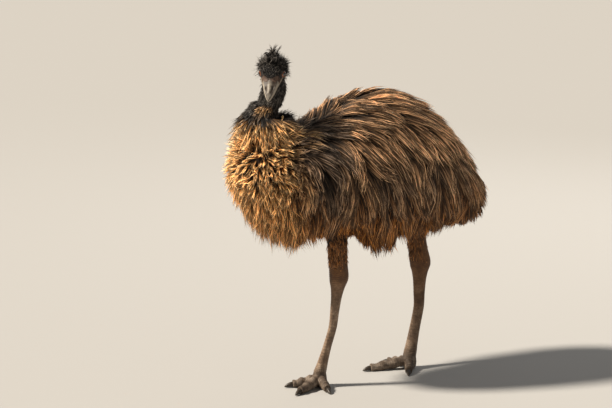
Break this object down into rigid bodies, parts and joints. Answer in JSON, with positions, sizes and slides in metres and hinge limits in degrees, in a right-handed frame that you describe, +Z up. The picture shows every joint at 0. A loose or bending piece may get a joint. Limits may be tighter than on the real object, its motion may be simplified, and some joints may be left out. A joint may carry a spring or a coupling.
{
  "type": "emu, life-size standing model",
  "caption": "Life-size emu standing with one foot ahead, shaggy brown plumage, black neck and crest, head turned to its left.",
  "frame": {"origin": "on the floor under the middle of the bird's bounding box", "axes": "+Z up; the bird faces -Y and its left side is +X"},
  "size_m": [0.5087, 1.0334, 1.2132],
  "materials": {
    "plumage": "matte",
    "neck_feathers": "matte",
    "scales": "matte",
    "horn": "satin",
    "eye": "gloss",
    "claw": "satin"
  },
  "bodies": {
    "root": {"torso": "plumage", "tail": "plumage", "neck": "neck_feathers", "head": "neck_feathers", "bill_upper": "horn", "bill_lower": "horn", "eye_left": "eye", "eye_right": "eye", "wing_left": "plumage", "wing_right": "plumage", "thigh_left": "plumage", "thigh_right": "plumage", "shank_left": "scales", "shank_right": "scales", "foot_left": "scales", "foot_right": "scales", "claw_left_inner": "claw", "claw_left_middle": "claw", "claw_left_outer": "claw", "claw_right_inner": "claw", "claw_right_middle": "claw", "claw_right_outer": "claw"}
  },
  "joints": []
}
